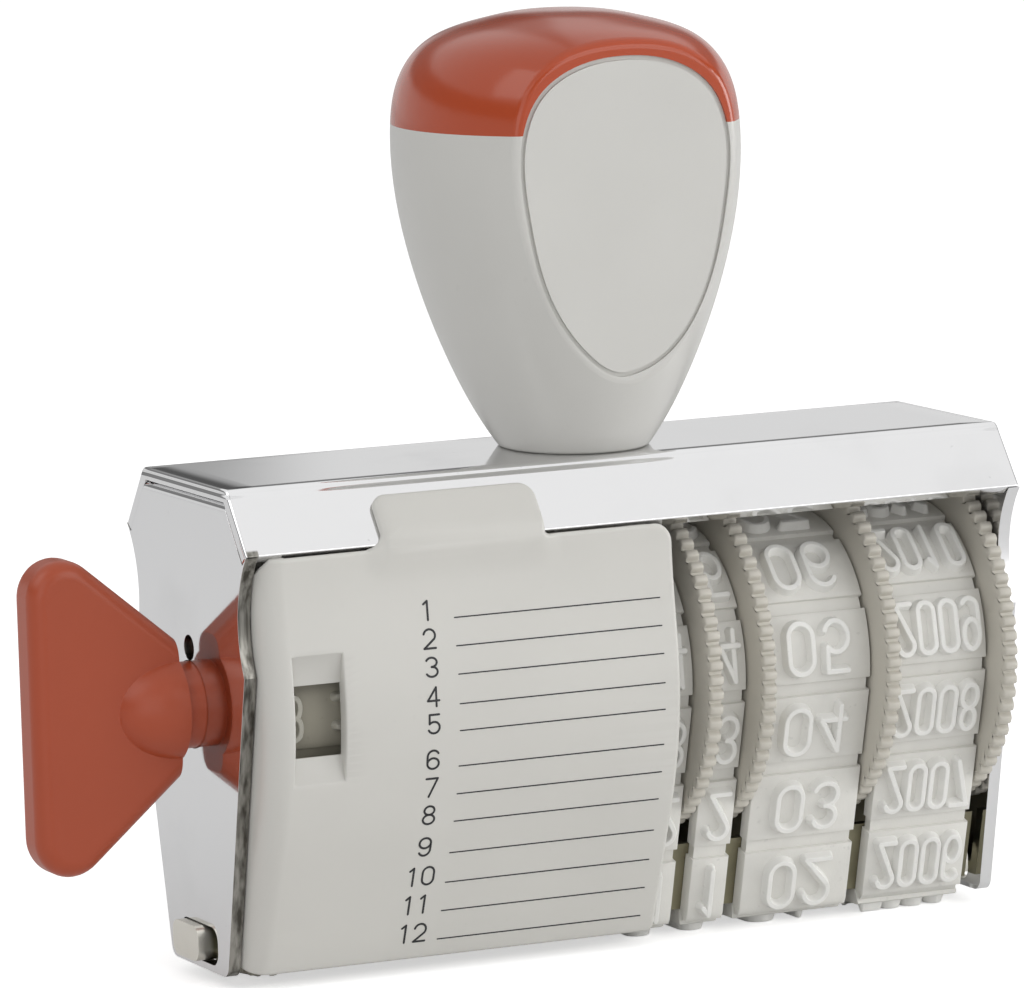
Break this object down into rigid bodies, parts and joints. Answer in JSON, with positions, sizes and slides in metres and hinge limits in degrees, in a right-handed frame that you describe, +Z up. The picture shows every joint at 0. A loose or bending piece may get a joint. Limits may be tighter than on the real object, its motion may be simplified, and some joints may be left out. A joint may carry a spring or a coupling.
{
  "type": "date and phrase stamp",
  "caption": "Hand stamp with a pear-shaped grip on a folded steel frame, a winged knob that turns a phrase drum and toothed thumb wheels that turn rubber date bands.",
  "frame": {"origin": "middle of the stamping face, on the outer face of the bands' bottom pads, midway between the end plates", "axes": "+X along the wheel axle, away from the phrase knob; -Y towards the front cover; +Z up to the grip"},
  "size_m": [0.0803, 0.0272, 0.0724],
  "materials": {
    "bright_steel": "nickel-plated and polished sheet",
    "zinc_steel": "zinc-plated",
    "bridge_metal": "dull yellow-passivated plating",
    "grey_plastic": "satin moulded",
    "cover_plastic": "satin moulded",
    "red_gloss": "polished moulded",
    "red_satin": "satin moulded",
    "ivory_plastic": "moulded, warm ivory",
    "band_rubber": "pale vulcanised rubber"
  },
  "bodies": {
    "frame": {"top_housing": "bright_steel", "end_bracket": "bright_steel", "handle_body": "grey_plastic", "handle_cap": "red_gloss", "handle_screw": "zinc_steel", "handle_washer": "zinc_steel", "front_cover": "cover_plastic", "axle": "zinc_steel", "bridge": "bridge_metal", "phrase_band": "band_rubber", "day_tens_band": "band_rubber", "day_units_band": "band_rubber", "month_band": "band_rubber", "year_band": "band_rubber"},
    "phrase_dial": {"phrase_knob": "red_satin", "phrase_drum": "ivory_plastic"},
    "day_tens_dial": {"day_tens_wheel": "ivory_plastic"},
    "day_units_dial": {"day_units_wheel": "ivory_plastic"},
    "month_dial": {"month_wheel": "ivory_plastic"},
    "year_dial": {"year_wheel": "ivory_plastic"}
  },
  "joints": [
    {"name": "phrase_turn", "type": "hinge", "parent": "frame", "child": "phrase_dial", "pos_m": [0, 0, 0.0208], "axis": [1, 0, 0], "continuous": true},
    {"name": "day_tens_turn", "type": "hinge", "parent": "frame", "child": "day_tens_dial", "pos_m": [0, 0, 0.0208], "axis": [1, 0, 0], "continuous": true},
    {"name": "day_units_turn", "type": "hinge", "parent": "frame", "child": "day_units_dial", "pos_m": [0, 0, 0.0208], "axis": [1, 0, 0], "continuous": true},
    {"name": "month_turn", "type": "hinge", "parent": "frame", "child": "month_dial", "pos_m": [0, 0, 0.0208], "axis": [1, 0, 0], "continuous": true},
    {"name": "year_turn", "type": "hinge", "parent": "frame", "child": "year_dial", "pos_m": [0, 0, 0.0208], "axis": [1, 0, 0], "continuous": true}
  ]
}
